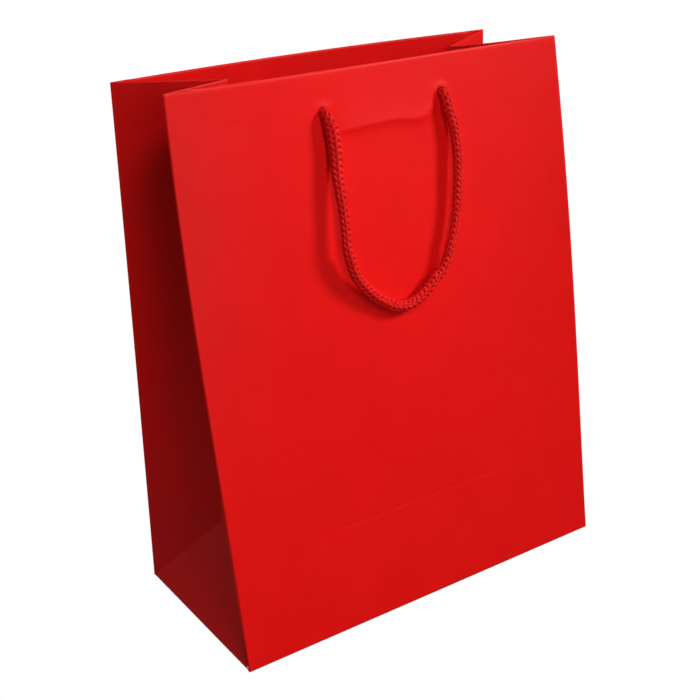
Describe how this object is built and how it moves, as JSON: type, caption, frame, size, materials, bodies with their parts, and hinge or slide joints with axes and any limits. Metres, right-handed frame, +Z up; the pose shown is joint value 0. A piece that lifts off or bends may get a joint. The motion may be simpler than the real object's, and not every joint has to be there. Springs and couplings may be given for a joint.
{
  "type": "gift bag",
  "caption": "Upright laminated-paper gift bag with a block bottom, folded-in side gussets, a turned-in rim and knotted braided-rope handles front and back.",
  "frame": {"origin": "centre of the base on the ground", "axes": "+X across the front to the right, +Y from the front face to the back, +Z up"},
  "size_m": [0.2, 0.1, 0.2489],
  "materials": {
    "laminated_paper": "satin",
    "rim_card": "matte",
    "base_card": "matte",
    "rope": "matte"
  },
  "bodies": {
    "base": {"bottom_front_flap": "laminated_paper", "bottom_back_flap": "laminated_paper", "bottom_left_flap": "laminated_paper", "bottom_right_flap": "laminated_paper", "base_board": "base_card"},
    "left_triangle": {"left_triangle": "laminated_paper"},
    "right_triangle": {"right_triangle": "laminated_paper"},
    "front_wall": {"front_panel": "laminated_paper", "front_card": "rim_card", "front_hem": "laminated_paper", "front_knots": "rope", "front_tails": "rope"},
    "back_wall": {"back_panel": "laminated_paper", "back_card": "rim_card", "back_hem": "laminated_paper", "back_knots": "rope", "back_tails": "rope", "side_seam_tab": "laminated_paper"},
    "front_handle": {"front_rope": "rope"},
    "back_handle": {"back_rope": "rope"},
    "left_gusset_front": {"left_gusset_front": "laminated_paper", "left_hem_front": "laminated_paper"},
    "right_gusset_front": {"right_gusset_front": "laminated_paper", "right_hem_front": "laminated_paper"},
    "left_gusset_back": {"left_gusset_back": "laminated_paper", "left_hem_back": "laminated_paper"},
    "right_gusset_back": {"right_gusset_back": "laminated_paper", "right_hem_back": "laminated_paper"}
  },
  "joints": [
    {"name": "front_wall_tilt", "type": "hinge", "parent": "base", "child": "front_wall", "pos_m": [0, -0.05, 0], "axis": [-1, 0, 0], "range_deg": [-1.6, 3.2], "stiffness_Nm_per_rad": 0.6, "springref_deg": -0.86},
    {"name": "back_wall_tilt", "type": "hinge", "parent": "base", "child": "back_wall", "pos_m": [0, 0.05, 0], "axis": [1, 0, 0], "range_deg": [-2, 3.5]},
    {"name": "left_gusset_front_fold", "type": "hinge", "parent": "front_wall", "child": "left_gusset_front", "pos_m": [-0.1, -0.05, 0], "axis": [0, -0.094, -0.9956], "range_deg": [-10, 18]},
    {"name": "right_gusset_front_fold", "type": "hinge", "parent": "front_wall", "child": "right_gusset_front", "pos_m": [0.1, -0.05, 0], "axis": [0, 0.094, 0.9956], "range_deg": [-10, 18]},
    {"name": "left_gusset_back_fold", "type": "hinge", "parent": "back_wall", "child": "left_gusset_back", "pos_m": [-0.1, 0.05, 0], "axis": [0, -0.094, 0.9956], "range_deg": [-10, 18]},
    {"name": "right_gusset_back_fold", "type": "hinge", "parent": "back_wall", "child": "right_gusset_back", "pos_m": [0.1, 0.05, 0], "axis": [0, 0.094, -0.9956], "range_deg": [-10, 18]},
    {"name": "left_triangle_tilt", "type": "hinge", "parent": "base", "child": "left_triangle", "pos_m": [-0.1, 0, 0], "axis": [0, 1, 0], "range_deg": [-4, 8]},
    {"name": "right_triangle_tilt", "type": "hinge", "parent": "base", "child": "right_triangle", "pos_m": [0.1, 0, 0], "axis": [0, -1, 0], "range_deg": [-4, 8]},
    {"name": "front_handle_swing", "type": "hinge", "parent": "front_wall", "child": "front_handle", "pos_m": [0, -0.03298, 0.23343], "axis": [-1, 0, 0], "range_deg": [0, 170]},
    {"name": "back_handle_swing", "type": "hinge", "parent": "back_wall", "child": "back_handle", "pos_m": [0, 0.03298, 0.23343], "axis": [1, 0, 0], "range_deg": [0, 170]}
  ],
  "couplings": [
    {"joint": "back_wall_tilt", "follows": "front_wall_tilt", "ratio": 1},
    {"joint": "left_gusset_front_fold", "follows": "front_wall_tilt", "ratio": 5.575},
    {"joint": "right_gusset_front_fold", "follows": "front_wall_tilt", "ratio": 5.575},
    {"joint": "left_gusset_back_fold", "follows": "front_wall_tilt", "ratio": 5.575},
    {"joint": "right_gusset_back_fold", "follows": "front_wall_tilt", "ratio": 5.575},
    {"joint": "left_triangle_tilt", "follows": "front_wall_tilt", "ratio": 2.348},
    {"joint": "right_triangle_tilt", "follows": "front_wall_tilt", "ratio": 2.348}
  ]
}
